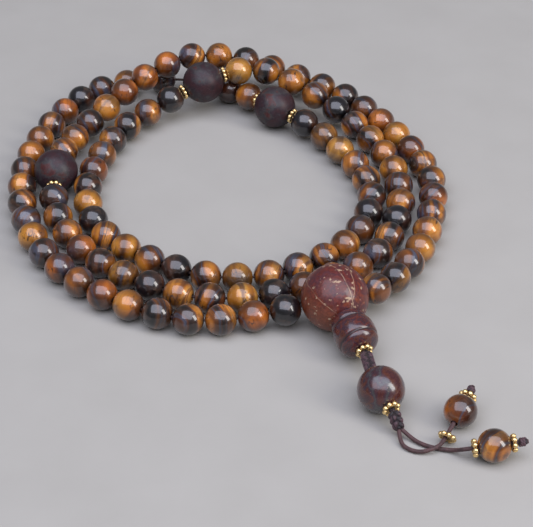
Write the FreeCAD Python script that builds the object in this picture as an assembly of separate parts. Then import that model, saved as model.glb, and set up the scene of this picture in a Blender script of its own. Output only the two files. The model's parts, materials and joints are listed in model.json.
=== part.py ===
"""Mala prayer beads: one closed strand of 108 drilled beads laid in three loose turns, with
three larger marker beads, a three-hole guru bead and a short tail of cap, bead and two cords.

Frame: millimetres, +Z up, the surface that the beads lie on at Z = 0, and the origin in the
middle of the coil. The strand leaves the guru bead on its left and runs clockwise, seen from
above: outer turn, inner turn, middle turn, then the outer turn again on the right.
"""
import FreeCAD, Part
import math
import os

V = FreeCAD.Vector

# Driving dimensions
BEAD_DIAMETER = 8.0
MARKER_DIAMETER = 12.0
GURU_DIAMETER = 17.0
TAIL_BEAD_DIAMETER = 11.4
THREAD_DIAMETER = 0.7
BEAD_BORE = 1.7
MARKER_BORE = 2.2
TAIL_CORD_DIAMETER = 1.0
CLOSE_PITCH = 8.17
GURU_GAP = 0.15
QUARTER_COUNTS = (26, 27, 28, 27)

# Route of the strand's thread, corner points of its straight runs (x, y, z)
GURU_CENTRE = (28.0, -57.0, 8.5)
ROUTE = [
    GURU_CENTRE,
    # outer turn: along the front, up the left side and over to the crossing at the back
    (10.5, -58.5, 4.0),
    (-7.5, -61.5, 4.0),
    (-26.5, -53.5, 4.0),
    (-39.5, -43.0, 4.0),
    (-49.5, -29.5, 4.0),
    (-55.5, -11.5, 4.0),
    (-57.0, 5.0, 4.0),
    (-55.0, 20.0, 4.0),
    (-49.5, 37.0, 4.0),
    (-40.5, 51.0, 4.0),
    (-26.0, 57.0, 4.0),
    # under the crossing, then onto the inner turn by way of the first marker
    (-10.5, 57.0, 4.0),
    (1.0, 50.5, 4.0),
    (12.5, 37.5, 7.0),
    (25.0, 28.5, 4.5),
    (36.5, 10.0, 4.0),
    (40.5, -4.0, 4.0),
    (37.0, -20.5, 4.0),
    (28.0, -33.5, 4.0),
    (10.5, -43.0, 4.0),
    (-6.5, -42.5, 4.0),
    (-22.0, -34.0, 4.0),
    (-34.5, -22.0, 4.0),
    (-39.0, -3.5, 4.0),
    (-36.5, 12.5, 4.0),
    (-31.5, 28.0, 4.0),
    (-21.5, 38.5, 5.5),
    # second marker rides over the outer turn, then the strand takes the middle turn
    (-6.5, 46.5, 10.5),
    (8.5, 50.0, 13.0),
    (25.5, 42.5, 7.5),
    (37.0, 30.5, 4.5),
    (46.5, 11.5, 4.0),
    (48.0, -8.0, 4.0),
    (45.0, -21.0, 4.0),
    (39.5, -34.5, 4.0),
    (25.0, -45.0, 4.0),
    (8.5, -51.5, 4.0),
    (-9.0, -51.5, 4.0),
    (-26.0, -42.5, 4.0),
    (-39.0, -30.0, 4.0),
    (-47.0, -12.0, 4.0),
    # third marker on the left, then over the outer turn and out to the right
    (-47.5, 4.5, 7.0),
    (-45.5, 19.0, 5.0),
    (-36.0, 36.5, 6.5),
    (-26.5, 48.0, 9.5),
    (-12.5, 58.0, 12.5),
    (4.0, 59.5, 10.0),
    (18.5, 55.5, 6.5),
    (34.0, 47.5, 4.5),
    (44.0, 34.0, 4.0),
    (52.0, 19.0, 4.0),
    (57.5, 3.0, 4.0),
    (55.5, -15.5, 4.0),
    (51.0, -32.0, 4.0),
    (41.0, -49.5, 6.0),
    GURU_CENTRE,
]
# How far along the thread each marker sits from the guru bead
MARKER_STATIONS = (236.2, 471.3, 716.0)
# Beads pushed together after the start and before the end of each quarter; the rest spread out
CLOSED_UP = ((22, 2), (0, 0), (0, 0), (0, 0))

# Gold daisy spacer: a ring of small balls on a band
GRANULES = 8
GRANULE_DIAMETER = 1.3
GRANULE_RING_RADIUS = 1.65
SPACER_BAND_RADIUS = 1.45
SPACER_BAND_LENGTH = 0.8
SPACER_BORE = 1.6
SPACER_CLEARANCE = 0.16

# Guru bead: three drillings that meet in a small knot chamber
GURU_BORE = 2.0
GURU_TAIL_BORE = 2.8
KNOT_CHAMBER_DIAMETER = 4.0
KNOT_DIAMETER = 3.0
TAIL_CORE_DIAMETER = 1.4

# Tail: cap, braid, bead, braid and two cords, from the guru bead outwards
CAP_SPACER_CENTRE = (34.7, -74.4, 5.6)
CAP_SEAT_GAP = 0.15
CAP_BORE = 2.2
# Cap outline as (distance from the guru's centre, radius), from the rim to the small end
CAP_RIM = (7.5, 3.9)
CAP_COLLAR = ((8.3, 4.3), (9.7, 4.55))
CAP_UPPER_GROOVE = (10.2, 4.35)
CAP_BARREL = ((10.7, 4.9), (13.0, 5.3), (15.2, 5.1))
CAP_LOWER_GROOVE = (15.7, 4.65)
CAP_LOBE = ((16.2, 4.8), (17.3, 4.0), (18.2, 2.2))
TAIL_BEAD_CENTRE = (38.0, -88.7, 5.7)
TAIL_BEAD_AXIS = (0.34, -0.93, -0.14)
TAIL_BEAD_BORE = 1.8
BRAID_DIAMETER = 2.8
CORE_END_GAP = 0.05
BRAID_END_GAP = 0.5
# Distance from a spacer's centre to the braid below it
UPPER_BRAID_DROP = 1.15
LOWER_BRAID_DROP = 1.65
FORK = (41.9, -98.4, 2.1)

# Tail cords: corner points of their routes up to the straight run through each end bead
CORD_A_ROUTE = [
    (41.5, -99.1, 1.6),
    (41.9, -101.6, 0.7),
    (43.7, -103.9, 0.6),
    (46.6, -105.0, 0.7),
    (49.7, -104.6, 1.6),
]
CORD_B_ROUTE = [
    (42.7, -98.6, 1.6),
    (44.9, -100.6, 0.7),
    (47.8, -102.6, 0.6),
    (50.9, -103.7, 0.6),
    (54.4, -104.5, 0.9),
]
END_BEAD_A_CENTRE = (56.3, -94.3, 4.0)
END_BEAD_A_AXIS = (0.44, 0.87, 0.225)
END_BEAD_B_CENTRE = (63.0, -106.2, 4.0)
END_BEAD_B_AXIS = (0.99, 0.077, 0.105)
# Where each straight run starts, measured back from its end bead's centre
CORD_A_LEAD = 9.6
CORD_B_LEAD = 6.4
# The slipped spacer on cord A has slid this far from its bead's centre
SLIPPED_SPACER_DISTANCE = 7.6
END_KNOT_DIAMETER = 2.2
END_KNOT_LENGTH = 2.2
END_KNOT_BORE = 1.04
CORD_STUB = 0.3
ARC_SHARE = 0.45


def unit(direction):
    """Vector of length one along a direction."""
    vector = V(*direction)
    vector.normalize()
    return vector


def straight_run(start, end):
    """Straight piece of a route."""
    return {"kind": "run", "start": start, "end": end, "length": (end - start).Length}


def tangent_arc(corner, before, after):
    """Largest arc that the two runs at a corner leave room for."""
    back = (before - corner).normalize()
    ahead = (after - corner).normalize()
    half_turn = (math.pi - back.getAngle(ahead)) / 2
    trim = ARC_SHARE * min((before - corner).Length, (after - corner).Length)
    radius = trim / math.tan(half_turn)
    centre = corner + (back + ahead).normalize() * (radius / math.cos(half_turn))
    return {
        "kind": "arc",
        "start": corner + back * trim,
        "end": corner + ahead * trim,
        "middle": centre + (corner - centre).normalize() * radius,
        "centre": centre,
        "radius": radius,
        "length": radius * 2 * half_turn,
    }


def make_route(points):
    """Straight runs joined by tangent arcs through a list of corner points."""
    corners = [V(*point) for point in points]
    pieces = []
    last = corners[0]
    for before, corner, after in zip(corners, corners[1:], corners[2:]):
        arc = tangent_arc(corner, before, after)
        pieces.append(straight_run(last, arc["start"]))
        pieces.append(arc)
        last = arc["end"]
    pieces.append(straight_run(last, corners[-1]))
    return pieces


def route_length(route):
    """Length of a route along its line."""
    return sum(piece["length"] for piece in route)


def smallest_radius(route):
    """Radius of a route's tightest arc."""
    return min(piece["radius"] for piece in route if piece["kind"] == "arc")


def place_on_route(route, station):
    """Point and direction of a route at a distance from its start."""
    for piece in route:
        if station <= piece["length"]:
            break
        station -= piece["length"]
    if piece["kind"] == "run":
        heading = (piece["end"] - piece["start"]).normalize()
        return piece["start"] + heading * station, heading
    outward = (piece["start"] - piece["centre"]).normalize()
    chord = piece["end"] - piece["start"]
    heading = (chord - outward * chord.dot(outward)).normalize()
    angle = station / piece["radius"]
    point = piece["centre"] + (outward * math.cos(angle) + heading * math.sin(angle)) * piece["radius"]
    return point, heading * math.cos(angle) - outward * math.sin(angle)


def tube(route, diameter):
    """Round cord along a route."""
    edges = []
    for piece in route:
        if piece["kind"] == "run":
            edges.append(Part.LineSegment(piece["start"], piece["end"]).toShape())
        else:
            edges.append(Part.Arc(piece["start"], piece["middle"], piece["end"]).toShape())
    heading = (route[0]["end"] - route[0]["start"]).normalize()
    section = Part.Wire(Part.makeCircle(diameter / 2, route[0]["start"], heading))
    return Part.Wire(edges).makePipeShell([section], True, True)


def cylinder_between(start, end, diameter):
    """Round bar from one point to another."""
    return Part.makeCylinder(diameter / 2, (end - start).Length, start, end - start)


def through_bore(centre, axis, diameter, length):
    """Bar that drills a hole of the given length centred on a point."""
    return Part.makeCylinder(diameter / 2, length, centre - axis * (length / 2), axis)


def placed(shape, centre, axis):
    """Shape made about the origin and +Z, moved so that it stands on a point along an axis."""
    shape.Placement = FreeCAD.Placement(centre, FreeCAD.Rotation(V(0, 0, 1), axis))
    return shape


def drilled_ball(centre, axis, diameter, bore):
    """Round bead with one straight hole from pole to pole."""
    ball = Part.makeSphere(diameter / 2)
    return placed(ball.cut(through_bore(V(), V(0, 0, 1), bore, 2 * diameter)), centre, axis)


def across(axis):
    """Unit vector square to an axis, as level as it can be."""
    side = axis.cross(V(0, 0, 1))
    return side.normalize()


def daisy_spacer(centre, axis):
    """Ring of gold granules on a thin band."""
    up = V(0, 0, 1)
    half_band = SPACER_BAND_LENGTH / 2
    band = Part.makeCylinder(SPACER_BAND_RADIUS, SPACER_BAND_LENGTH, up * -half_band, up)
    balls = []
    for number in range(GRANULES):
        angle = 2 * math.pi * (number + 0.5) / GRANULES
        outward = V(math.cos(angle), math.sin(angle), 0)
        balls.append(Part.makeSphere(GRANULE_DIAMETER / 2, outward * GRANULE_RING_RADIUS, outward))
    ring = band.fuse(balls)
    return placed(ring.cut(through_bore(V(), up, SPACER_BORE, 4 * SPACER_BAND_LENGTH)), centre, axis)


def spacer_distance(bead_diameter):
    """Distance between the centres of a round bead and a spacer that sits against it."""
    reach = (bead_diameter + GRANULE_DIAMETER) / 2
    return math.sqrt(reach**2 - GRANULE_RING_RADIUS**2) + SPACER_CLEARANCE


def quarter_stations(start, end, count, closed_up):
    """Stations of one quarter's beads: pushed together at its ends, spread evenly between."""
    at_start, at_end = closed_up
    head = [start + CLOSE_PITCH * number for number in range(at_start)]
    tail = [end - CLOSE_PITCH * number for number in reversed(range(at_end))]
    loose = count - at_start - at_end
    if not head:
        return [start + (end - start) * number / (count - 1) for number in range(count)]
    gap = (tail[0] - head[-1]) / (loose + 1)
    return head + [head[-1] + gap * (number + 1) for number in range(loose)] + tail


def strand_stations(route):
    """Stations of all four quarters' beads along the thread."""
    first = (GURU_DIAMETER + BEAD_DIAMETER) / 2 + GURU_GAP
    beside_marker = spacer_distance(MARKER_DIAMETER) + spacer_distance(BEAD_DIAMETER)
    starts = [first] + [station + beside_marker for station in MARKER_STATIONS]
    ends = [station - beside_marker for station in MARKER_STATIONS]
    ends.append(route_length(route) - first)
    return [quarter_stations(*quarter) for quarter in zip(starts, ends, QUARTER_COUNTS, CLOSED_UP)]


def strand_bead(route, station):
    """One tiger-eye bead on the strand."""
    centre, heading = place_on_route(route, station)
    return drilled_ball(centre, heading, BEAD_DIAMETER, BEAD_BORE)


def guru_legs(route):
    """Directions in which the thread leaves the guru bead: left, right and into the tail."""
    centre = V(*GURU_CENTRE)
    left = (route[0]["end"] - centre).normalize()
    right = (route[-1]["start"] - centre).normalize()
    into_tail = (V(*CAP_SPACER_CENTRE) - centre).normalize()
    return left, right, into_tail


def make_main_thread(route):
    """The strand's thread, with its ends knotted in the guru bead and led into the tail hole."""
    centre = V(*GURU_CENTRE)
    into_tail = guru_legs(route)[2]
    thread = tube(route, THREAD_DIAMETER)
    knot = Part.makeSphere(KNOT_DIAMETER / 2, centre)
    lead = cylinder_between(centre, centre + into_tail * (GURU_DIAMETER / 2), TAIL_CORE_DIAMETER)
    return thread.fuse([knot, lead])


def make_guru_bead(route):
    """Three-hole bead that gathers both ends of the strand and the tail."""
    centre = V(*GURU_CENTRE)
    left, right, into_tail = guru_legs(route)
    holes = [
        cylinder_between(centre, centre + left * GURU_DIAMETER, GURU_BORE),
        cylinder_between(centre, centre + right * GURU_DIAMETER, GURU_BORE),
        cylinder_between(centre, centre + into_tail * GURU_DIAMETER, GURU_TAIL_BORE),
        Part.makeSphere(KNOT_CHAMBER_DIAMETER / 2, centre, into_tail),
    ]
    ball = Part.makeSphere(GURU_DIAMETER / 2)
    # the ball's pole lies on the tail hole and its seam underneath, clear of the other two
    ball.Placement = FreeCAD.Placement(centre, FreeCAD.Rotation(V(0, 0, -1), V(), into_tail, "ZXY"))
    return ball.cut(holes)


def revolve_along(outline, start, axis):
    """Solid turned about an axis from (distance, radius) points, closed along the axis."""
    side = across(axis)
    points = [start + axis * distance + side * radius for distance, radius in outline]
    points = [start + axis * outline[0][0]] + points + [start + axis * outline[-1][0]]
    profile = Part.Face(Part.makePolygon(points + [points[0]]))
    return profile.revolve(start, axis, 360)


def make_guru_cap():
    """Turned cap whose hollow end seats on the guru bead like a ball joint."""
    centre = V(*GURU_CENTRE)
    axis = (V(*CAP_SPACER_CENTRE) - centre).normalize()
    outline = [CAP_RIM, *CAP_COLLAR, CAP_UPPER_GROOVE, *CAP_BARREL, CAP_LOWER_GROOVE, *CAP_LOBE]
    seat = Part.makeSphere(GURU_DIAMETER / 2 + CAP_SEAT_GAP, centre)
    bore = cylinder_between(centre, centre + axis * 2 * GURU_DIAMETER, CAP_BORE)
    return revolve_along(outline, centre, axis).cut([seat, bore])


def make_upper_braid():
    """Cord that hangs the tail bead from the guru bead, with its core inside the cap."""
    centre = V(*GURU_CENTRE)
    spacer = V(*CAP_SPACER_CENTRE)
    axis = (spacer - centre).normalize()
    bead_mouth = V(*TAIL_BEAD_CENTRE) - unit(TAIL_BEAD_AXIS) * (TAIL_BEAD_DIAMETER / 2 + BRAID_END_GAP)
    braid_start = spacer + axis * UPPER_BRAID_DROP
    core_start = centre + axis * (GURU_DIAMETER / 2 + 3 * CAP_SEAT_GAP)
    core = cylinder_between(core_start, braid_start, TAIL_CORE_DIAMETER)
    braid = cylinder_between(braid_start, bead_mouth, BRAID_DIAMETER)
    knuckle = Part.makeSphere(TAIL_CORE_DIAMETER / 2, braid_start)
    return core.fuse([knuckle, braid])


def make_lower_braid():
    """Cord core through the tail bead, then the short braid down to the fork."""
    axis = unit(TAIL_BEAD_AXIS)
    centre = V(*TAIL_BEAD_CENTRE)
    spacer = centre + axis * spacer_distance(TAIL_BEAD_DIAMETER)
    core_start = centre - axis * (TAIL_BEAD_DIAMETER / 2 + CORE_END_GAP)
    braid_start = spacer + axis * LOWER_BRAID_DROP
    core = cylinder_between(core_start, braid_start, TAIL_CORE_DIAMETER)
    braid = cylinder_between(braid_start, V(*FORK), BRAID_DIAMETER)
    knuckle = Part.makeSphere(TAIL_CORE_DIAMETER / 2, braid_start)
    return core.fuse([knuckle, braid])


def end_knot_distance():
    """Distance from an end bead's centre to the face of its knot."""
    return spacer_distance(BEAD_DIAMETER) + GRANULE_DIAMETER / 2 + SPACER_CLEARANCE


def cord_route(points, bead_centre, bead_axis, lead):
    """Route of a tail cord: its loose part, then straight through its end bead and knot."""
    centre = V(*bead_centre)
    axis = unit(bead_axis)
    run_start = centre - axis * lead
    run_end = centre + axis * (end_knot_distance() + END_KNOT_LENGTH + CORD_STUB)
    return make_route(points + [tuple(run_start), tuple(run_end)])


def make_end_knot(bead_centre, bead_axis):
    """Knot that stops a tail cord's last spacer."""
    axis = unit(bead_axis)
    face = V(*bead_centre) + axis * end_knot_distance()
    knot = Part.makeCylinder(END_KNOT_DIAMETER / 2, END_KNOT_LENGTH, face, axis)
    return knot.cut(through_bore(face, axis, END_KNOT_BORE, 4 * END_KNOT_LENGTH))


def export(shape, name):
    """Write one node and say what it holds."""
    shape.exportStep(f"parts/{name}.step")
    print(f"{name}: {len(shape.Solids)} solids, {shape.Volume:.2f} mm3, valid {shape.isValid()}")


def export_strand(route):
    """Thread, guru bead, tiger-eye beads, markers and the markers' spacers."""
    export(make_main_thread(route), "main_thread")
    export(make_guru_bead(route), "guru_bead")
    first, *others = strand_stations(route)
    for number, station in enumerate(first, start=1):
        export(strand_bead(route, station), f"tiger_eye_bead_{number:02d}")
    for name, stations in zip(("second", "third", "fourth"), others):
        beads = [strand_bead(route, station) for station in stations]
        export(Part.makeCompound(beads), f"{name}_quarter_beads")
    reach = spacer_distance(MARKER_DIAMETER)
    for number, station in enumerate(MARKER_STATIONS, start=1):
        centre, heading = place_on_route(route, station)
        marker = drilled_ball(centre, heading, MARKER_DIAMETER, MARKER_BORE)
        export(marker, f"marker_bead_{number}")
        for side, shift in (("before", -reach), ("after", reach)):
            spacer = daisy_spacer(*place_on_route(route, station + shift))
            export(spacer, f"marker_{number}_spacer_{side}")


def export_tail():
    """Cap, braids and tail bead with their spacers."""
    guru = V(*GURU_CENTRE)
    cap_spacer = V(*CAP_SPACER_CENTRE)
    tail_bead = V(*TAIL_BEAD_CENTRE)
    tail_axis = unit(TAIL_BEAD_AXIS)
    export(make_guru_cap(), "guru_cap")
    export(daisy_spacer(cap_spacer, (cap_spacer - guru).normalize()), "cap_spacer")
    export(make_upper_braid(), "upper_braid")
    export(drilled_ball(tail_bead, tail_axis, TAIL_BEAD_DIAMETER, TAIL_BEAD_BORE), "tail_bead")
    tail_spacer = tail_bead + tail_axis * spacer_distance(TAIL_BEAD_DIAMETER)
    export(daisy_spacer(tail_spacer, tail_axis), "tail_spacer")
    export(make_lower_braid(), "lower_braid")


def export_tail_cord(letter, points, bead_centre, bead_axis, lead, inner_distance):
    """One tail cord with its end bead, two spacers and knot."""
    centre = V(*bead_centre)
    axis = unit(bead_axis)
    route = cord_route(points, bead_centre, bead_axis, lead)
    cord = tube(route, TAIL_CORD_DIAMETER)
    expected = math.pi * TAIL_CORD_DIAMETER**2 / 4 * route_length(route)
    export(cord, f"tail_cord_{letter}")
    print(f"cord {letter}: length {route_length(route):.1f}, smallest radius {smallest_radius(route):.1f}")
    print(f"cord {letter}: volume {cord.Volume:.2f} against {expected:.2f}")
    export(drilled_ball(centre, axis, BEAD_DIAMETER, BEAD_BORE), f"end_bead_{letter}")
    export(daisy_spacer(centre - axis * inner_distance, axis), f"inner_spacer_{letter}")
    outer = centre + axis * spacer_distance(BEAD_DIAMETER)
    export(daisy_spacer(outer, axis), f"outer_spacer_{letter}")
    export(make_end_knot(bead_centre, bead_axis), f"end_knot_{letter}")


def main():
    os.makedirs("parts", exist_ok=True)
    route = make_route(ROUTE)
    print(f"thread: length {route_length(route):.1f}, smallest radius {smallest_radius(route):.1f}")
    export_strand(route)
    export_tail()
    export_tail_cord(
        "a", CORD_A_ROUTE, END_BEAD_A_CENTRE, END_BEAD_A_AXIS, CORD_A_LEAD, SLIPPED_SPACER_DISTANCE
    )
    export_tail_cord(
        "b", CORD_B_ROUTE, END_BEAD_B_CENTRE, END_BEAD_B_AXIS, CORD_B_LEAD, spacer_distance(BEAD_DIAMETER)
    )


main()
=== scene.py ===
"""Looks of the mala prayer beads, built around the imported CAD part. Units are metres."""
import json
import math
import random

import bmesh
import bpy
import numpy as np
from mathutils import Matrix, Vector

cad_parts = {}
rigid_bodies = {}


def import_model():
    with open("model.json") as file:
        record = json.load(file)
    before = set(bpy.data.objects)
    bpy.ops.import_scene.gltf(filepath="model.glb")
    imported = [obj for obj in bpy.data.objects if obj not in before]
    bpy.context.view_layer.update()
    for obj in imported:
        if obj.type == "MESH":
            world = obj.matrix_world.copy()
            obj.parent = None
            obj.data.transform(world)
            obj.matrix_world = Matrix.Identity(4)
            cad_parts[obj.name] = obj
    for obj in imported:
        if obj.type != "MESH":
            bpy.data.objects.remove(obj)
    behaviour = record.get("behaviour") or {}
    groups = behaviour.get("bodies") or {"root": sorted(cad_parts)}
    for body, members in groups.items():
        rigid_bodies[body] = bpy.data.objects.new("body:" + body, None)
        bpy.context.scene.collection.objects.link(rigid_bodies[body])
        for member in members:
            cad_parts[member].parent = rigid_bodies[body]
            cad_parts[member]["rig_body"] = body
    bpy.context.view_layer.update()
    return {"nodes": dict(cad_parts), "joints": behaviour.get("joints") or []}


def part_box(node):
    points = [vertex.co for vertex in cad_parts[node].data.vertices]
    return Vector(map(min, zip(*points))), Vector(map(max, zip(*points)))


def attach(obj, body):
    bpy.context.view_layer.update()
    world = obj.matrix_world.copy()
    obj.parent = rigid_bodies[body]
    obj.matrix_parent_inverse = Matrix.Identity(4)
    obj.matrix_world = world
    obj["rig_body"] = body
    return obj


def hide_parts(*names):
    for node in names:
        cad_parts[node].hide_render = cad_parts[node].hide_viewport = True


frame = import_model()
MM = 0.001
NODES = frame["nodes"]
BODY_OF = {n: o["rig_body"] for n, o in NODES.items()}
JOINTS = {j["name"]: j for j in frame["joints"]}


# ---------------------------------------------------------------- camera
def make_camera():
    data = bpy.data.cameras.new("camera")
    data.sensor_width = 36
    data.lens = 118.46
    data.clip_start, data.clip_end = 0.02, 20
    camera = bpy.data.objects.new("camera", data)
    bpy.context.scene.collection.objects.link(camera)
    tilt = Matrix.Rotation(math.radians(53.62), 4, "X")
    roll = Matrix.Rotation(math.radians(0.186), 4, "Z")
    camera.matrix_world = Matrix.Translation((0.011, -0.403, 0.2739)) @ tilt @ roll
    bpy.context.scene.camera = camera


make_camera()

# ---------------------------------------------------------------- tail cords
CORD_DIAMETER = 1.0 * MM
FORK = Vector((41.9, -98.4, 2.1)) * MM
# each cord's route up to its end bead, in millimetres, as in the CAD part but starting inside the plait
CORD_A = [
    (41.8, -98.3, 1.95), (41.9, -101.6, 0.7), (43.7, -103.9, 0.6), (46.6, -105.0, 0.7), (49.7, -104.6, 1.6),
]
CORD_B = [
    (42.3, -98.2, 1.95), (44.9, -100.6, 0.7), (47.8, -102.6, 0.6), (50.9, -103.7, 0.6), (54.4, -104.5, 0.9),
]
BEAD_A, AXIS_A = Vector((56.3, -94.3, 4.0)), Vector((0.44, 0.87, 0.225)).normalized()
BEAD_B, AXIS_B = Vector((63.0, -106.2, 4.0)), Vector((0.99, 0.077, 0.105)).normalized()
# how far each cord's last free point lies before its end bead, and how far both run on beyond it
LEAD_A, LEAD_B, BEYOND = 9.6, 6.4, 7.817


def cord_curve(name, corners, bead, axis, lead):
    """Limp cord on one smooth spline through the bead and its knot."""
    points = [Vector(c) for c in corners] + [bead - axis * lead, bead + axis * BEYOND]
    data = bpy.data.curves.new(name, "CURVE")
    data.dimensions = "3D"
    spline = data.splines.new("NURBS")
    spline.points.add(len(points) - 1)
    for control, point in zip(spline.points, points):
        control.co = (*(point * MM), 1.0)
    spline.order_u = 3
    spline.use_endpoint_u = True
    spline.resolution_u = 16
    data.bevel_depth = CORD_DIAMETER / 2
    data.bevel_resolution = 5
    data.use_fill_caps = True
    cord = bpy.data.objects.new(name, data)
    bpy.context.scene.collection.objects.link(cord)
    return cord


cord_a = cord_curve("tail_cord_a_laid", CORD_A, BEAD_A, AXIS_A, LEAD_A)
cord_b = cord_curve("tail_cord_b_laid", CORD_B, BEAD_B, AXIS_B, LEAD_B)


def centreline(cord):
    """Points of a cord's own spline, in order."""
    bare = cord.data.copy()
    bare.bevel_depth = 0
    carrier = bpy.data.objects.new("carrier", bare)
    mesh = bpy.data.meshes.new_from_object(carrier)
    points = [v.co.copy() for v in mesh.vertices]
    bpy.data.objects.remove(carrier)
    bpy.data.meshes.remove(mesh)
    bpy.data.curves.remove(bare)
    return points


# ---------------------------------------------------------------- materials
class Graph:
    """Short names for the nodes of one material."""

    def __init__(self, name):
        self.material = bpy.data.materials.new(name)
        self.material.use_nodes = True
        self.tree = self.material.node_tree
        self.shader = self.tree.nodes["Principled BSDF"]

    def put(self, socket, value):
        if isinstance(value, bpy.types.NodeSocket):
            self.tree.links.new(value, socket)
        else:
            socket.default_value = value

    def add(self, kind, inputs=(), **settings):
        node = self.tree.nodes.new(kind)
        for key, value in settings.items():
            setattr(node, key, value)
        for key, value in dict(inputs).items():
            self.put(node.inputs[key], value)
        return node

    def math(self, operation, a, b=0.0, clamp=False):
        return self.add("ShaderNodeMath", {0: a, 1: b}, operation=operation, use_clamp=clamp).outputs[0]

    def vector(self, operation, a, b=(0, 0, 0)):
        node = self.add("ShaderNodeVectorMath", {0: a, 1: b}, operation=operation)
        return node.outputs["Value" if operation in ("DOT_PRODUCT", "LENGTH", "DISTANCE") else "Vector"]

    def attribute(self, name):
        return self.add("ShaderNodeAttribute", attribute_name=name).outputs["Vector"]

    def place(self):
        """Object coordinates in millimetres."""
        where = self.add("ShaderNodeTexCoord").outputs["Object"]
        return self.vector("MULTIPLY", where, (1000, 1000, 1000))

    def split(self, vector):
        return self.add("ShaderNodeSeparateXYZ", {0: vector}).outputs

    def join(self, x, y, z):
        return self.add("ShaderNodeCombineXYZ", {0: x, 1: y, 2: z}).outputs[0]

    def noise(self, vector, scale, detail=3.0, rough=0.5, distortion=0.0):
        inputs = {"Vector": vector, "Scale": scale, "Detail": detail, "Roughness": rough}
        inputs["Distortion"] = distortion
        return self.add("ShaderNodeTexNoise", inputs).outputs

    def cells(self, vector, scale, feature="F1", random_share=1.0):
        inputs = {"Vector": vector, "Scale": scale, "Randomness": random_share}
        return self.add("ShaderNodeTexVoronoi", inputs, feature=feature).outputs

    def ramp(self, value, stops):
        node = self.add("ShaderNodeValToRGB", {0: value})
        band = node.color_ramp.elements
        while len(band) < len(stops):
            band.new(1.0)
        for element, (at, colour) in zip(band, stops):
            element.position = at
            element.color = (*colour, 1) if len(colour) == 3 else colour
        return node.outputs[0]

    def range(self, value, low, high, to_low=0.0, to_high=1.0):
        inputs = {"Value": value, 1: low, 2: high, 3: to_low, 4: to_high}
        return self.add("ShaderNodeMapRange", inputs, interpolation_type="SMOOTHSTEP").outputs[0]

    def mix(self, factor, a, b, blend="MIX"):
        node = self.add("ShaderNodeMix", {0: factor, 6: a, 7: b}, data_type="RGBA", blend_type=blend)
        return node.outputs[2]

    def off_centre(self, colour, reach):
        """A noise colour as a shift to both sides, up to half of reach."""
        return self.vector("MULTIPLY", self.vector("SUBTRACT", colour, (0.5, 0.5, 0.5)), reach)

    def grey(self, value):
        return self.join(value, value, value)

    def bump(self, height, strength, distance):
        node = self.add("ShaderNodeBump", {"Height": height, "Strength": strength, "Distance": distance})
        self.put(self.shader.inputs["Normal"], node.outputs[0])

    def finish(self, colour, rough, **fixed):
        self.put(self.shader.inputs["Base Color"], colour)
        self.put(self.shader.inputs["Roughness"], rough)
        for name, value in fixed.items():
            self.shader.inputs[name.replace("_", " ")].default_value = value
        return self.material


def rgb(r, g, b):
    """Colour with full alpha."""
    return (r, g, b, 1.0)


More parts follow.
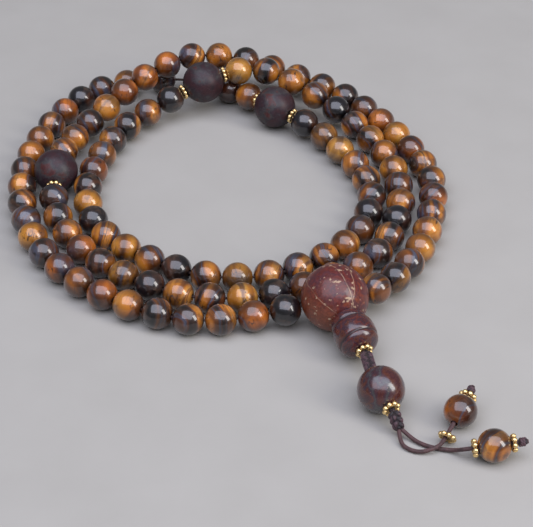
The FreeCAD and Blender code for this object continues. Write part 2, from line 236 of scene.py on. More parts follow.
def tiger_eye():
    """Polished banded stone, with painted sheen in a ring round the bead and painted shade away from it.
    grain: place in the stone, X across its bands and Y along its sheen.
    tone: palette shift, band spacing, band contrast. tint: colour of the whole bead."""
    g = Graph("tiger_eye_stone")
    grain = g.attribute("grain")
    tone = g.split(g.attribute("tone"))
    local = g.split(g.attribute("local"))
    wander = g.noise(grain, 0.75, 2.0)["Color"]
    bent = g.vector("ADD", grain, g.off_centre(wander, (0.42, 0.3, 0.3)))
    across, along, _ = g.split(bent)
    spaced = g.math("MULTIPLY", across, tone[1])
    bands = g.noise(g.join(spaced, g.math("MULTIPLY", along, 0.05), 0.0), 1.0, 1.8, 0.5)[0]
    spread = g.math("ADD", g.math("MULTIPLY", g.math("SUBTRACT", bands, 0.5), tone[2]), tone[0])
    colour = g.ramp(spread, [
        (0.00, (0.005, 0.004, 0.006)),
        (0.16, (0.008, 0.006, 0.007)),
        (0.27, (0.026, 0.010, 0.006)),
        (0.34, (0.075, 0.022, 0.007)),
        (0.385, (0.045, 0.052, 0.080)),
        (0.43, (0.070, 0.022, 0.006)),
        (0.51, (0.150, 0.047, 0.008)),
        (0.61, (0.290, 0.100, 0.012)),
        (0.72, (0.400, 0.152, 0.019)),
        (0.84, (0.440, 0.200, 0.042)),
        (0.91, (0.120, 0.048, 0.020)),
        (0.97, (0.420, 0.170, 0.035)),
    ])
    fibres = g.noise(g.vector("MULTIPLY", bent, (2.2, 34.0, 34.0)), 1.0, 3.0, 0.6)[0]
    colour = g.mix(1.0, colour, g.grey(g.range(fibres, 0.3, 0.7, 0.84, 1.12)), "MULTIPLY")
    # painted sheen and painted shade: the bead is brighter in a ring round it, square to the fibres, and
    # darker towards the ends of its Y axis
    painted_sheen_shift = g.math("MULTIPLY", g.math("SUBTRACT", bands, 0.5), 0.6)
    painted_sheen_ring = g.math("ABSOLUTE", g.math("ADD", local[1], painted_sheen_shift))
    colour = g.mix(1.0, colour, g.grey(g.range(painted_sheen_ring, 0.1, 0.95, 1.25, 0.36)), "MULTIPLY")
    # thin dark iron seams and cloudy grey-brown patches
    seams = g.noise(g.vector("MULTIPLY", bent, (1.8, 0.3, 0.3)), 2.2, 1.0)[0]
    seam = g.range(g.math("ABSOLUTE", g.math("SUBTRACT", seams, 0.5)), 0.006, 0.022, 0.8, 0.0)
    seam = g.math("MULTIPLY", seam, g.range(g.noise(grain, 1.0, 1.0)[0], 0.45, 0.6))
    colour = g.mix(seam, colour, rgb(0.010, 0.008, 0.011))
    cloud = g.range(g.noise(grain, 1.3, 3.0)[0], 0.52, 0.70, 0.0, 0.65)
    dull = g.mix(g.range(fibres, 0.35, 0.65), rgb(0.030, 0.021, 0.020), rgb(0.130, 0.066, 0.034))
    colour = g.mix(cloud, colour, dull)
    colour = g.mix(1.0, colour, g.attribute("tint"), "MULTIPLY")
    glint = g.math("MULTIPLY", g.range(spread, 0.5, 0.75, 0.0, 0.14), g.range(painted_sheen_ring, 0.2, 0.8, 1.0, 0.0))
    g.put(g.shader.inputs["Metallic"], glint)
    rough = g.range(fibres, 0.2, 0.8, 0.26, 0.38)
    pits = g.range(g.cells(grain, 5.0)[0], 0.02, 0.06, 0.0, 1.0)
    g.bump(g.math("ADD", g.math("MULTIPLY", fibres, 0.12), pits), 0.2, 0.00002)
    return g.finish(colour, rough, Coat_Weight=1.0, Coat_Roughness=0.04, Coat_IOR=1.55, IOR=1.4)


def marker_stone():
    """Matte wood-like marker bead: purple-brown with grey-green and dark red mottling."""
    g = Graph("marker_bead_stone")
    grain = g.attribute("grain")
    broad = g.noise(grain, 1.2, 4.0, 0.6)[0]
    colour = g.ramp(broad, [
        (0.25, (0.014, 0.007, 0.010)),
        (0.40, (0.034, 0.011, 0.014)),
        (0.50, (0.026, 0.015, 0.020)),
        (0.57, (0.037, 0.033, 0.034)),
        (0.64, (0.060, 0.013, 0.012)),
        (0.74, (0.030, 0.012, 0.016)),
    ])
    fine = g.noise(grain, 14.0, 5.0, 0.65)[0]
    colour = g.mix(1.0, colour, g.grey(g.range(fine, 0.3, 0.7, 0.72, 1.3)), "MULTIPLY")
    warped = g.vector("ADD", grain, g.vector("MULTIPLY", g.noise(grain, 1.6, 2.0)["Color"], (0.6, 0.6, 0.6)))
    lines = g.cells(g.vector("MULTIPLY", warped, (1.0, 4.0, 1.5)), 1.6, "DISTANCE_TO_EDGE")[0]
    scratch = g.math("MULTIPLY", g.range(lines, 0.0, 0.02, 1.0, 0.0), g.range(fine, 0.45, 0.6))
    colour = g.mix(g.math("MULTIPLY", scratch, 0.6), colour, rgb(0.100, 0.070, 0.072))
    g.bump(g.math("SUBTRACT", g.math("MULTIPLY", fine, 0.5), scratch), 0.35, 0.00004)
    rough = g.range(fine, 0.3, 0.7, 0.40, 0.58)
    return g.finish(colour, rough, Coat_Weight=0.08, Coat_Roughness=0.3, IOR=1.38)


def guru_stone():
    """Polished seed-like bead: red-brown and plum, cream flecks, short scratches and long pale lines."""
    g = Graph("guru_bead_stone")
    centre = Vector(JOINTS["guru_cap_spin"]["pos_m"]) / MM
    local = g.vector("SUBTRACT", g.place(), tuple(centre))
    wander = g.noise(local, 0.16, 4.0, 0.55)["Color"]
    bent = g.vector("ADD", local, g.off_centre(wander, (7, 7, 7)))
    zones = g.noise(bent, 0.13, 3.0, 0.5)[0]
    colour = g.ramp(zones, [
        (0.26, (0.036, 0.010, 0.012)),
        (0.38, (0.110, 0.020, 0.015)),
        (0.45, (0.072, 0.020, 0.026)),
        (0.52, (0.120, 0.019, 0.013)),
        (0.59, (0.070, 0.016, 0.020)),
        (0.66, (0.165, 0.032, 0.013)),
        (0.74, (0.110, 0.020, 0.016)),
        (0.86, (0.050, 0.014, 0.018)),
    ])
    # the low left side is warmer
    warm = g.range(g.vector("DOT_PRODUCT", bent, (-0.62, -0.62, -0.48)), 1.5, 8.0, 0.0, 0.85)
    colour = g.mix(warm, colour, rgb(0.165, 0.040, 0.014))
    fine = g.noise(local, 1.7, 4.0, 0.6)[0]
    colour = g.mix(1.0, colour, g.grey(g.range(fine, 0.3, 0.7, 0.7, 1.28)), "MULTIPLY")
    # cream flecks: small, uneven, some drawn out into dashes
    shred = g.vector("MULTIPLY", g.noise(local, 1.5, 4.0, 0.7)["Color"], (1.3, 1.3, 1.3))
    ragged = g.vector("ADD", local, shred)
    dots = g.cells(g.vector("MULTIPLY", ragged, (0.8, 0.55, 1.0)), 0.95)
    kept = g.range(g.split(dots["Color"])[0], 0.30, 0.34)
    size = g.range(g.split(dots["Color"])[1], 0.0, 1.0, 0.10, 0.25)
    dot = g.math("MULTIPLY", g.range(g.math("SUBTRACT", dots["Distance"], size), -0.02, 0.05, 1.0, 0.0), kept)
    dashes = g.cells(g.vector("MULTIPLY", ragged, (0.30, 1.2, 1.0)), 0.55)
    dash_kept = g.range(g.split(dashes["Color"])[2], 0.42, 0.45)
    dash = g.math("MULTIPLY", g.range(dashes["Distance"], 0.16, 0.24, 1.0, 0.0), dash_kept)
    fleck = g.math("MULTIPLY", g.math("MAXIMUM", dot, dash), g.range(fine, 0.34, 0.5))
    # long pale lines where curved cuts meet the surface
    crack = 0.0
    wavy = g.vector("ADD", local, g.off_centre(wander, (1.6, 1.6, 1.6)))
    # each: direction square to the cut, its distance from the middle and half its width in mm
    lines = (
        ((0.855, 0.518, -0.023), 0.2, 0.22),
        ((0.848, 0.308, -0.431), 0.0, 0.19),
        ((0.62, 0.25, 0.74), -1.0, 0.12),
    )
    for normal, offset, width in lines:
        plane = g.vector("DOT_PRODUCT", wavy, normal)
        gap = g.math("ABSOLUTE", g.math("SUBTRACT", plane, offset))
        crack = g.math("MAXIMUM", crack, g.range(gap, 0.0, width, 0.8, 0.0))
    crack = g.math("MULTIPLY", crack, g.range(g.noise(local, 0.5, 2.0)[0], 0.38, 0.5, 0.25, 0.9))
    pale = g.math("MAXIMUM", fleck, crack)
    colour = g.mix(pale, colour, g.mix(fine, rgb(0.24, 0.13, 0.075), rgb(0.50, 0.36, 0.24)))
    g.bump(g.math("SUBTRACT", g.math("MULTIPLY", fine, 0.15), pale), 0.4, 0.00006)
    rough = g.math("ADD", g.range(fine, 0.3, 0.7, 0.34, 0.46), g.math("MULTIPLY", pale, 0.3))
    return g.finish(colour, rough, Coat_Weight=0.3, Coat_Roughness=0.14, Coat_IOR=1.5, IOR=1.4)


def cap_stone(name, olive):
    """Polished burgundy piece with plum and red-brown clouds, and painted shade in its grooves; groove: how
    deep a point lies in a groove.
    """
    g = Graph(name)
    grain = g.attribute("grain")
    bent = g.vector("ADD", grain, g.vector("MULTIPLY", g.noise(grain, 0.6, 3.0)["Color"], (1.5, 1.5, 1.5)))
    zones = g.noise(g.vector("MULTIPLY", bent, (1.0, 0.5, 1.0)), 1.15, 3.0, 0.5)[0]
    light = (0.050, 0.048, 0.048) if olive else (0.100, 0.019, 0.013)
    colour = g.ramp(zones, [
        (0.26, (0.022, 0.008, 0.011)),
        (0.36, (0.064, 0.013, 0.011)),
        (0.43, (0.036, 0.014, 0.022)),
        (0.49, light),
        (0.54, (0.036, 0.016, 0.028)),
        (0.60, (0.084, 0.022, 0.012)),
        (0.66, (0.052, 0.013, 0.016)),
        (0.80, (0.028, 0.011, 0.018)),
    ])
    fine = g.noise(grain, 9.0, 4.0, 0.6)[0]
    colour = g.mix(1.0, colour, g.grey(g.range(fine, 0.3, 0.7, 0.90, 1.10)), "MULTIPLY")
    groove = g.split(g.attribute("groove"))[0]
    # painted shade: darker deep in the grooves
    colour = g.mix(groove, colour, rgb(0.016, 0.007, 0.009))
    fleck = g.range(g.cells(grain, 3.2)[0], 0.05, 0.09, 0.5, 0.0)
    colour = g.mix(fleck, colour, rgb(0.30, 0.17, 0.11))
    g.bump(g.math("SUBTRACT", g.math("MULTIPLY", fine, 0.3), fleck), 0.3, 0.00004)
    rough = g.math("ADD", g.range(fine, 0.3, 0.7, 0.22, 0.34), g.math("MULTIPLY", groove, 0.25))
    return g.finish(colour, rough, Coat_Weight=0.6, Coat_Roughness=0.12, Coat_IOR=1.5)


def gold():
    """Satin gold granulation, darker and rougher in the hollows between the balls."""
    g = Graph("granulated_gold")
    local = g.place()
    hollow = g.split(g.attribute("groove"))[0]
    wear = g.noise(local, 2.2, 3.0)[0]
    colour = g.mix(wear, rgb(0.88, 0.59, 0.22), rgb(0.99, 0.79, 0.42))
    colour = g.mix(hollow, colour, rgb(0.30, 0.15, 0.045))
    rough = g.math("ADD", g.range(wear, 0.3, 0.7, 0.2, 0.36), g.math("MULTIPLY", hollow, 0.3))
    g.bump(g.noise(local, 9.0, 3.0)[0], 0.25, 0.00003)
    return g.finish(colour, rough, Metallic=1.0)


def textile(name, dark, light, twist):
    """Waxed cord: fine fibres, with plies where the piece says how far round its twist a point is, and
    painted shade in the creases between plies and deep inside a plait or knot.
    """
    g = Graph(name)
    local = g.place()
    fuzz = g.noise(local, 9.0, 5.0, 0.7)[0]
    worn = g.noise(local, 0.9, 3.0)[0]
    shade = g.math("MULTIPLY", g.math("ADD", fuzz, worn), 0.5)
    height = fuzz
    if twist:
        turn = g.split(g.attribute("twist"))[0]
        ply = g.math("ABSOLUTE", g.math("SINE", turn))
        height = g.math("ADD", g.math("MULTIPLY", ply, 1.2), g.math("MULTIPLY", fuzz, 0.6))
        # painted shade in the creases between the plies
        shade = g.math("MULTIPLY", shade, g.range(ply, 0.0, 0.6, 0.55, 1.1))
        # painted shade deep inside the plait or knot
        shade = g.math("MULTIPLY", shade, g.range(g.split(g.attribute("groove"))[0], 0.1, 0.7, 1.1, 0.2))
    colour = g.mix(g.range(shade, 0.3, 0.62), dark, light)
    g.bump(height, 0.7, 0.00008)
    material = g.finish(colour, g.range(fuzz, 0.3, 0.7, 0.5, 0.75), Sheen_Weight=0.3, Sheen_Roughness=0.4)
    g.shader.inputs["Sheen Tint"].default_value = rgb(0.7, 0.45, 0.5)
    return material


TIGER_EYE = tiger_eye()
MARKER = marker_stone()
GURU = guru_stone()
CAP = cap_stone("cap_bead_stone", False)
TAIL = cap_stone("tail_bead_stone", True)
GOLD = gold()
BRAID = textile("plaited_cord", rgb(0.008, 0.004, 0.006), rgb(0.072, 0.033, 0.042), True)
CORD = textile("waxed_tail_cord", rgb(0.022, 0.010, 0.011), rgb(0.082, 0.037, 0.036), False)
THREAD = textile("strand_thread", rgb(0.012, 0.007, 0.006), rgb(0.075, 0.036, 0.028), False)


# ---------------------------------------------------------------- meshes
def mesh_piece(name, verts, faces, material, node, slot, **attributes):
    """One smooth mesh piece that stands for a CAD node and rides with it."""
    data = bpy.data.meshes.new(name)
    data.from_pydata([tuple(v) for v in verts], [], [tuple(int(i) for i in f) for f in faces])
    data.polygons.foreach_set("use_smooth", [True] * len(data.polygons))
    for key, values in attributes.items():
        data.attributes.new(key, "FLOAT_VECTOR", "POINT").data.foreach_set(
            "vector", np.asarray(values, np.float32).ravel()
        )
    data.materials.append(material)
    data.update()
    piece = bpy.data.objects.new(name, data)
    bpy.context.scene.collection.objects.link(piece)
    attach(piece, BODY_OF[node])
    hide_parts(node)
    return piece


def turn_to(axis):
    """Rotation that carries +Z onto an axis, as a 3x3 array."""
    return np.array(Vector(axis).to_track_quat("Z", "Y").to_matrix())


def lathe(profile, segments):
    """Closed ring of quads turned about Z from (radius, height) points."""
    count = len(profile)
    angles = np.linspace(0, 2 * math.pi, segments, endpoint=False)
    radius, height = np.array(profile).T
    verts = np.stack([
        np.outer(np.cos(angles), radius),
        np.outer(np.sin(angles), radius),
        np.tile(height, (segments, 1)),
    ], axis=-1).reshape(-1, 3)
    faces = []
    for s in range(segments):
        here, there = s * count, (s + 1) % segments * count
        for p in range(count):
            q = (p + 1) % count
            faces.append((here + p, here + q, there + q, there + p))
    return verts, faces


def arc_points(start, corner, end, steps):
    """Points of a rounded corner, its two ends included."""
    start, corner, end = (np.array(p, float) for p in (start, corner, end))
    return [
        tuple((1 - t) ** 2 * start + 2 * t * (1 - t) * corner + t * t * end)
        for t in np.linspace(0, 1, steps)
    ]


def bead_profile(radius, bore, rounding, steps=26):
    """Outline of a drilled ball whose hole has softly rounded lips."""
    first = math.asin((bore + rounding) / radius)
    outer = [(radius * math.sin(a), radius * math.cos(a)) for a in np.linspace(first, math.pi - first, steps)]
    lip = radius * math.cos(math.asin(bore / radius))
    inside = lip - rounding
    down = arc_points(outer[-1], (bore, -lip), (bore, -inside), 5)
    up = arc_points((bore, inside), (bore, lip), outer[0], 5)
    wall = [(bore, h) for h in np.linspace(-inside, inside, 5)[1:-1]]
    return outer + down[1:] + wall + up[:-1]


def solids(node):
    """Separate solids of a CAD node, as (points, face centres, face normals), in a steady order."""
    work = bmesh.new()
    work.from_mesh(NODES[node].data)
    bmesh.ops.remove_doubles(work, verts=work.verts, dist=1e-7)
    work.verts.ensure_lookup_table()
    left = set(range(len(work.verts)))
    found = []
    while left:
        reached = {left.pop()}
        front = list(reached)
        while front:
            vert = work.verts[front.pop()]
            for edge in vert.link_edges:
                other = edge.other_vert(vert).index
                if other in left:
                    left.remove(other)
                    reached.add(other)
                    front.append(other)
        verts = [work.verts[i] for i in sorted(reached)]
        faces = {f for v in verts for f in v.link_faces}
        faces = sorted(faces, key=lambda f: tuple(f.calc_center_median()))
        found.append((
            np.array([v.co for v in verts]),
            np.array([f.calc_center_median() for f in faces]),
            np.array([f.normal * f.calc_area() for f in faces]),
        ))
    work.free()
    return sorted(found, key=lambda s: tuple(np.round(s[0].mean(0), 6)))


def drilled(node):
    """Centre, hole axis and radius of each drilled ball in a CAD node."""
    balls = []
    for points, centres, normals in solids(node):
        middle = (points.min(0) + points.max(0)) / 2
        radius = np.linalg.norm(points - middle, axis=1).max()
        wall = np.linalg.norm(centres - middle, axis=1) < 0.6 * radius
        spread = normals[wall].T @ normals[wall]
        values, vectors = np.linalg.eigh(spread)
        balls.append((middle, vectors[:, 0], radius))
    return balls


def stone_axes(rng):
    """Axes of a stone's own frame: X across its bands, Y along them with the painted sheen on top, Z the
    rest.
    """
    bands = Vector((1, rng.gauss(0, 0.55), rng.gauss(0, 0.35))).normalized()
    # level becomes the Y axis: the painted sheen rings the bead square to it, and painted shade darkens the
    # bead towards its ends
    level = Vector((rng.gauss(0, 0.3), 0.75, 0.66 + rng.gauss(0, 0.4)))
    level = (level - bands * level.dot(bands)).normalized()
    return np.array([bands, level, bands.cross(level)])


def along_strand(balls, start):
    """Balls in the order in which the strand passes through them, from the one nearest start."""
    left, ordered, here = list(balls), [], np.array(start)
    while left:
        nearest = min(left, key=lambda ball: np.linalg.norm(ball[0] - here))
        left = [ball for ball in left if ball is not nearest]
        ordered.append(nearest)
        here = nearest[0]
    return ordered


def ball_pieces(node, material, slot, bore, rounding, seed, looks="", start=(0, 0, 0)):
    """All of a node's drilled balls as one piece, each with its own stone."""
    rng = random.Random(seed)
    verts, faces, grain, local, tone, tint = [], [], [], [], [], []
    base = 0
    for number, (middle, axis, radius) in enumerate(along_strand(drilled(node), start)):
        profile, ring = lathe(bead_profile(radius, bore, rounding), BEAD_SEGMENTS)
        placed = profile @ turn_to(axis).T
        stone = placed @ stone_axes(rng).T / radius
        verts.append(placed + middle)
        faces.extend(tuple(i + base for i in f) for f in ring)
        base += len(placed)
        offset = np.array([rng.uniform(-40, 40) for _ in range(3)])
        local.append(stone)
        grain.append(stone + offset)
        palette, shade = stone_look(rng, looks[number] if looks else "m")
        tone.append(np.tile(palette, (len(placed), 1)))
        tint.append(np.tile(shade, (len(placed), 1)))
    return mesh_piece(
        node + "_turned", np.concatenate(verts), faces, material, node, slot, grain=np.concatenate(grain),
        local=np.concatenate(local), tone=np.concatenate(tone), tint=np.concatenate(tint),
    )


BEAD_SEGMENTS = 44
SMALL_BORE, SMALL_LIP = 0.85 * MM, 0.16 * MM
MARKER_BORE, TAIL_BORE, LARGE_LIP = 1.1 * MM, 0.9 * MM, 0.3 * MM

# each kind of tiger-eye bead: palette shift, band spacing, band contrast, and tint
# k near-black, d dark brown, r red-brown, o orange-brown, g golden, m mixed, b blue-banded, c cloudy
KINDS = {
    "k": ((0.15, 1.1, 1.3), (0.90, 0.92, 1.00)),
    "d": ((0.38, 0.9, 1.3), (0.95, 0.90, 0.85)),
    "r": ((0.50, 0.8, 1.2), (1.00, 0.80, 0.74)),
    "o": ((0.60, 0.8, 1.3), (1.00, 0.94, 0.90)),
    "g": ((0.66, 0.9, 1.5), (0.95, 1.00, 0.95)),
    "m": ((0.53, 1.1, 2.6), (1.00, 0.96, 0.92)),
    "b": ((0.48, 1.1, 2.6), (1.00, 0.97, 0.97)),
    "c": ((0.54, 1.2, 1.6), (0.78, 0.90, 1.00)),
}
# one letter for each bead's kind, in order along the strand
QUARTERS = (
    "krmbborordgdmmdoobrkdoddro",
    "kcgbmdkdbbmbcmkogbkgmrgmbok",
    "gmookbmmgdbkmdoodkgbmkcbrobd",
    "mbdorrrbodommbdrgrbmrbbgmcm",
)


def stone_look(rng, letter):
    """Tone and tint of one tiger-eye bead, a little off its kind."""
    (shift, spacing, contrast), tint = KINDS[letter]
    palette = (
        shift + rng.uniform(-0.03, 0.03),
        spacing * rng.uniform(0.8, 1.25),
        contrast * rng.uniform(0.85, 1.2),
    )
    light = rng.uniform(0.88, 1.12)
    return palette, [part * light for part in tint]


def tiger_eye_piece(node, seed, looks, start=(0, 0, 0)):
    ball_pieces(node, TIGER_EYE, "tiger_eye", SMALL_BORE, SMALL_LIP, seed, looks, start)


for number, letter in enumerate(QUARTERS[0], start=1):
    tiger_eye_piece(f"tiger_eye_bead_{number:02d}", 100 + number, letter)
for number, quarter in enumerate(("second", "third", "fourth"), start=1):
    marker_side = JOINTS[f"marker_{number}_spacer_after_spin"]["pos_m"]
    tiger_eye_piece(f"{quarter}_quarter_beads", 200 + number, QUARTERS[number], marker_side)
tiger_eye_piece("end_bead_a", 912, "r")
tiger_eye_piece("end_bead_b", 912, "m")
for number in (1, 2, 3):
    ball_pieces(f"marker_bead_{number}", MARKER, "marker_stone", MARKER_BORE, LARGE_LIP, 40 + number)
ball_pieces("tail_bead", TAIL, "tail_stone", TAIL_BORE, LARGE_LIP, 77)


# ---------------------------------------------------------------- gold spacers
def round_ball(radius, rows, columns):
    """Ball of quads with small triangles at its two ends."""
    work = bmesh.new()
    bmesh.ops.create_uvsphere(work, u_segments=columns, v_segments=rows, radius=radius)
    verts = np.array([v.co for v in work.verts])
    faces = [tuple(v.index for v in f.verts) for f in work.faces]
    work.free()
    return verts, faces


GRANULES, GRANULE_RADIUS, GRANULE_RING = 8, 0.65 * MM, 1.65 * MM


def daisy(node, lean=(0, 0, 0), back=0.0):
    """Granulated ring: eight balls round a band with rounded edges.
    A loose ring leans aside, and sits back from its bead so that it stays clear at the end of its slide."""
    points = np.array([v.co for v in NODES[node].data.vertices])
    middle = (points.min(0) + points.max(0)) / 2
    axis = np.linalg.eigh(np.cov((points - points.mean(0)).T))[1][:, 0]
    axis = axis if axis[1] > 0 else -axis
    middle = middle - axis * back
    frame_of = turn_to(axis + np.array(lean))
    bore, outer, half, soft = 0.8 * MM, 1.45 * MM, 0.4 * MM, 0.12 * MM
    outline = (
        arc_points((outer - soft, half), (outer, half), (outer, half - soft), 4)
        + arc_points((outer, soft - half), (outer, -half), (outer - soft, -half), 4)
        + arc_points((bore + soft, -half), (bore, -half), (bore, soft - half), 4)
        + arc_points((bore, half - soft), (bore, half), (bore + soft, half), 4)
    )
    verts, faces = lathe(outline, 40)
    parts, grooves = [verts], [np.full(len(verts), 0.45)]
    ball, ball_faces = round_ball(GRANULE_RADIUS, 12, 18)
    for number in range(GRANULES):
        angle = 2 * math.pi * (number + 0.5) / GRANULES
        outward = np.array([math.cos(angle), math.sin(angle), 0])
        base = sum(len(p) for p in parts)
        faces.extend(tuple(i + base for i in f) for f in ball_faces)
        parts.append(ball + outward * GRANULE_RING)
        sideways = np.abs(np.cross(outward, ball / GRANULE_RADIUS)[:, 2])
        inward = np.clip(-(ball @ outward) / GRANULE_RADIUS, 0, 1)
        grooves.append(np.clip(np.maximum((sideways - 0.72) * 2.6, inward * 0.9), 0, 1))
    groove = np.concatenate(grooves)
    return mesh_piece(
        node + "_granulated", np.concatenate(parts) @ frame_of.T + middle, faces, GOLD, node, "gold",
        groove=np.stack([groove] * 3, axis=1),
    )


# a lean of the axis, and a distance back from the bead
LOOSE = {"inner_spacer_a": ((-0.02, -0.07, 0.20), 0.45 * MM)}
for node in sorted(n for n in NODES if "spacer" in n):
    daisy(node, *LOOSE.get(node, ()))


# ---------------------------------------------------------------- guru bead and cap
def give(node, material):
    """A better material on a CAD node that keeps its own shape."""
    NODES[node].data.materials.clear()
    NODES[node].data.materials.append(material)


give("guru_bead", GURU)
give("main_thread", THREAD)


def smooth_line(points, steps):
    """Catmull-Rom line through (radius, distance) points."""
    points = [np.array(p, float) for p in points]
    points = [2 * points[0] - points[1]] + points + [2 * points[-1] - points[-2]]
    line = []
    for a, b, c, d in zip(points, points[1:], points[2:], points[3:]):
        for t in np.linspace(0, 1, steps, endpoint=False):
            square, cube = 2 * a - 5 * b + 4 * c - d, 3 * b - a - 3 * c + d
            line.append(0.5 * (2 * b + (c - a) * t + square * t**2 + cube * t**3))
    line.append(points[-2])
    return [tuple(p) for p in line]


def guru_cap():
    """Turned cap: rounded collar, softly cut grooves, full barrel and a lobe at the small end."""
    joint = JOINTS["guru_cap_spin"]
    centre, axis = np.array(joint["pos_m"]), Vector(joint["axis"]).normalized()
    seat, bore, segments = 8.65, 1.1, 72
    outside = [
        (3.95, 7.72), (4.25, 8.2), (4.48, 8.9), (4.56, 9.5), (4.5, 9.85), (4.37, 10.08), (4.37, 10.28),
        (4.6, 10.55), (4.92, 10.9), (5.18, 11.8), (5.28, 13.0), (5.24, 14.2), (5.08, 15.1),
        (4.74, 15.52), (4.66, 15.74), (4.82, 16.1), (4.6, 16.7), (4.0, 17.35), (3.2, 17.85), (2.2, 18.14),
    ]
    # distance along the axis and half width of each turned groove, in mm
    grooves = ((10.18, 0.26), (15.66, 0.3))
    line = smooth_line(outside, 4)
    mouth = [(1.5, 18.18), (1.22, 18.05), (bore, 17.8)]
    foot = math.sqrt(seat**2 - bore**2)
    wall = [(bore, h) for h in np.linspace(17.4, foot + 0.3, 8)]
    angles = np.linspace(math.asin(bore / seat), math.asin(3.86 / seat), 12)
    hollow = [(seat * math.sin(a), seat * math.cos(a)) for a in angles]
    profile = [(r * MM, h * MM) for r, h in line + mouth + wall + hollow]
    verts, faces = lathe(profile, segments)
    # depth in the grooves, which the cap's material darkens as painted shade
    depth = np.zeros(len(profile))
    for index, (r, h) in enumerate(profile):
        for at, width in grooves:
            if r > 4 * MM:
                depth[index] = max(depth[index], math.exp(-(((h / MM - at) / width) ** 2)))
    depth = np.tile(depth, segments)
    mesh_piece(
        "guru_cap_turned", verts @ turn_to(axis).T + centre, faces, CAP, "guru_cap", "cap_stone",
        grain=verts / (5 * MM) + 3.0, groove=np.stack([depth] * 3, axis=1),
    )


guru_cap()


# ---------------------------------------------------------------- braids and knots
def tube(line, radii, sides, turns_per_mm):
    """Closed round tube along a line, with the angle round its twist for each vertex."""
    line = np.asarray(line, float)
    heading = np.gradient(line, axis=0)
    heading /= np.linalg.norm(heading, axis=1)[:, None]
    side = np.cross(heading[0], [0.3, 0.2, 1.0])
    verts, twist, walked = [], [], 0.0
    for index, (point, ahead) in enumerate(zip(line, heading)):
        side = side - ahead * side.dot(ahead)
        side /= np.linalg.norm(side)
        up = np.cross(ahead, side)
        if index:
            walked += np.linalg.norm(point - line[index - 1]) / MM
        for k in range(sides):
            a = 2 * math.pi * k / sides
            verts.append(point + (side * math.cos(a) + up * math.sin(a)) * radii[index])
            twist.append(a + walked * turns_per_mm * 2 * math.pi)
    faces = []
    for i in range(len(line) - 1):
        for k in range(sides):
            n = (k + 1) % sides
            faces.append((i * sides + k, i * sides + n, (i + 1) * sides + n, (i + 1) * sides + k))
    last = (len(line) - 1) * sides
    faces.append(tuple(reversed(range(sides))))
    faces.append(tuple(range(last, last + sides)))
    return np.array(verts), faces, np.array(twist)


def merge(parts):
    """Several tubes as one mesh."""
    verts, faces, twist = [], [], []
    for v, f, t in parts:
        base = sum(len(x) for x in verts)
        verts.append(v)
        faces.extend(tuple(i + base for i in face) for face in f)
        twist.append(t)
    return np.concatenate(verts), faces, np.concatenate(twist)


def braid(node, start, bend, end, wide, pitch):
    """Three-strand plait: a narrow core from start to the bend, then a full plait to the end."""
    core_room, core_lift, core_radius = 0.30 * MM, 0.26 * MM, 0.36 * MM
    full_room, full_lift, full_radius = wide * 0.27, wide * 0.17, wide * 0.235
    core, full = (bend - start).length, (end - bend).length
    total = core + full
    steps = 120
    parts = []
    first, second = (bend - start).normalized(), (end - bend).normalized()
    for strand in range(3):
        line, radii = [], []
        for s in np.linspace(0, total, steps):
            point = start + first * s if s < core else bend + second * (s - core)
            ahead = first.lerp(second, min(1, max(0, (s - core + 0.4 * MM) / (0.8 * MM)))).normalized()
            flat = ahead.cross(Vector((0, 0, 1))).normalized()
            rise = ahead.cross(flat) * -1
            swell = min(1, max(0, (s - core + 0.5 * MM) / (0.8 * MM)))
            swell = swell * swell * (3 - 2 * swell)
            taper = 1 - 0.25 * max(0.0, (s - total + 0.8 * MM) / (0.8 * MM))
            room = (core_room + (full_room - core_room) * swell) * taper
            lift = (core_lift + (full_lift - core_lift) * swell) * taper
            angle = 2 * math.pi * (s / pitch + strand / 3)
            line.append(point + flat * math.sin(angle) * room + rise * math.sin(2 * angle) * lift)
            radii.append((core_radius + (full_radius - core_radius) * swell) * taper)
        parts.append(tube(line, radii, 14, 0.55))
    verts, faces, twist = merge(parts)
    mesh_piece(
        node + "_plaited", verts, faces, BRAID, node, "cord", twist=np.stack([twist] * 3, axis=1),
        groove=depth_in(verts, bend, end, wide / 2),
    )


def depth_in(verts, start, end, reach):
    """How deep each point lies in a plait or knot, 0 at its outside and 1 at its axis; the cord material
    darkens the deep points as painted shade.
    """
    ahead = np.array((end - start).normalized())
    off = verts - np.array(start)
    off = off - np.outer(off @ ahead, ahead)
    depth = np.clip(1.15 - np.linalg.norm(off, axis=1) / reach, 0, 1)
    return np.stack([depth] * 3, axis=1)


guru = Vector(JOINTS["guru_cap_spin"]["pos_m"])
cap_axis = Vector(JOINTS["guru_cap_spin"]["axis"]).normalized()
tail_centre = Vector(JOINTS["tail_bead_spin"]["pos_m"])
tail_axis = Vector(JOINTS["tail_bead_spin"]["axis"]).normalized()


def middle_of(node):
    """Middle of a CAD node's box."""
    low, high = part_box(node)
    return (low + high) / 2


braid(
    "upper_braid", guru + cap_axis * 9.0 * MM, middle_of("cap_spacer") + cap_axis * 1.15 * MM,
    tail_centre - tail_axis * 5.9 * MM, 3.1 * MM, 2.7 * MM,
)
braid(
    "lower_braid", tail_centre - tail_axis * 5.7 * MM, middle_of("tail_spacer") + tail_axis * 1.65 * MM,
    FORK, 3.1 * MM, 4.2 * MM,
)


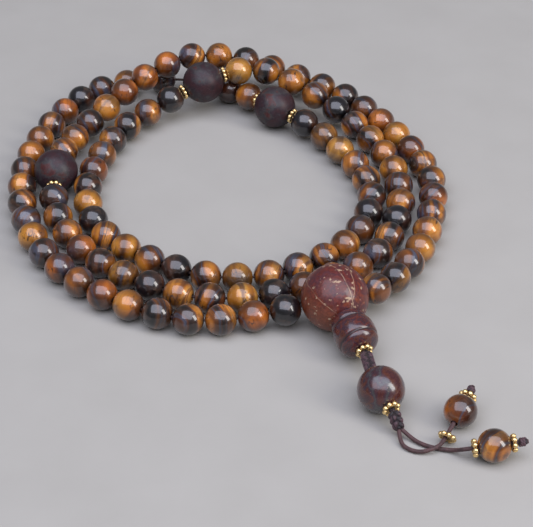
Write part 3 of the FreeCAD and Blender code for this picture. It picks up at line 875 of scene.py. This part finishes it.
def end_knot(node, cord):
    """Barrel knot: turns of cord wound round the end of the tail cord, and its sealed tip."""
    line = centreline(cord)
    tip = line[-1]
    ahead = (line[-1] - line[-2]).normalized()
    face = tip - ahead * 2.5 * MM
    side = ahead.cross(Vector((0, 0, 1))).normalized()
    up = ahead.cross(side)
    wound, radii = [], []
    turns, steps = 2.75, 100
    for step in range(steps):
        t = step / (steps - 1)
        angle = 2 * math.pi * turns * t
        outward = side * math.cos(angle) + up * math.sin(angle)
        wound.append(face + ahead * (0.42 + 1.36 * t) * MM + outward * 0.66 * MM)
        radii.append(0.42 * MM)
    heart = [face + ahead * h * MM for h in (0.1, 0.5, 1.2, 2.0, 2.25)]
    core = tube(heart, [r * MM for r in (0.55, 0.72, 0.78, 0.7, 0.55)], 16, 0.6)
    verts, faces, twist = merge([tube(wound, radii, 12, 0.6), core])
    mesh_piece(
        node + "_wound", verts, faces, BRAID, node, "cord", twist=np.stack([twist] * 3, axis=1),
        groove=depth_in(verts, face, tip, 1.1 * MM),
    )


end_knot("end_knot_a", cord_a)
end_knot("end_knot_b", cord_b)

for letter, cord, length in (("a", cord_a, 0.0321), ("b", cord_b, 0.0312)):
    cord.data.materials.append(CORD)
    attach(cord, "tail_cords")
    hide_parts(f"tail_cord_{letter}")


# ---------------------------------------------------------------- floor and light
def make_floor():
    """Plain pale floor, which is not part of the object."""
    g = Graph("pale_floor")
    grain = g.noise(g.place(), 0.05, 4.0)[0]
    material = g.finish(g.mix(grain, rgb(0.330, 0.315, 0.285), rgb(0.375, 0.360, 0.328)), 0.8)
    data = bpy.data.meshes.new("floor")
    data.from_pydata([(-3, -3, 0), (3, -3, 0), (3, 3, 0), (-3, 3, 0)], [], [(0, 1, 2, 3)])
    data.materials.append(material)
    floor = bpy.data.objects.new("floor", data)
    floor.location.z = -0.00005
    bpy.context.scene.collection.objects.link(floor)


def soft_light(name, direction, distance, size, power, colour):
    """Square softbox that faces the object from a direction."""
    data = bpy.data.lights.new(name, "AREA")
    data.shape = "RECTANGLE"
    data.size, data.size_y = size
    data.energy = power
    data.color = colour
    light = bpy.data.objects.new(name, data)
    back = Vector(direction).normalized()
    light.location = Vector((0.005, -0.02, 0)) + back * distance
    light.rotation_euler = (-back).to_track_quat("-Z", "Y").to_euler()
    bpy.context.scene.collection.objects.link(light)


make_floor()
soft_light("sky", (-0.06, -0.33, 0.94), 1.2, (1.85, 1.45), 27.0, (0.80, 0.83, 1.0))
soft_light("window", (0.76, -0.40, 0.54), 1.0, (0.34, 0.60), 5.5, (1.0, 0.97, 0.95))
world = bpy.data.worlds.new("room")
world.use_nodes = True
world.node_tree.nodes["Background"].inputs[0].default_value = rgb(0.60, 0.60, 0.60)
world.node_tree.nodes["Background"].inputs[1].default_value = 0.30
bpy.context.scene.world = world
bpy.context.scene.view_settings.view_transform = "Standard"
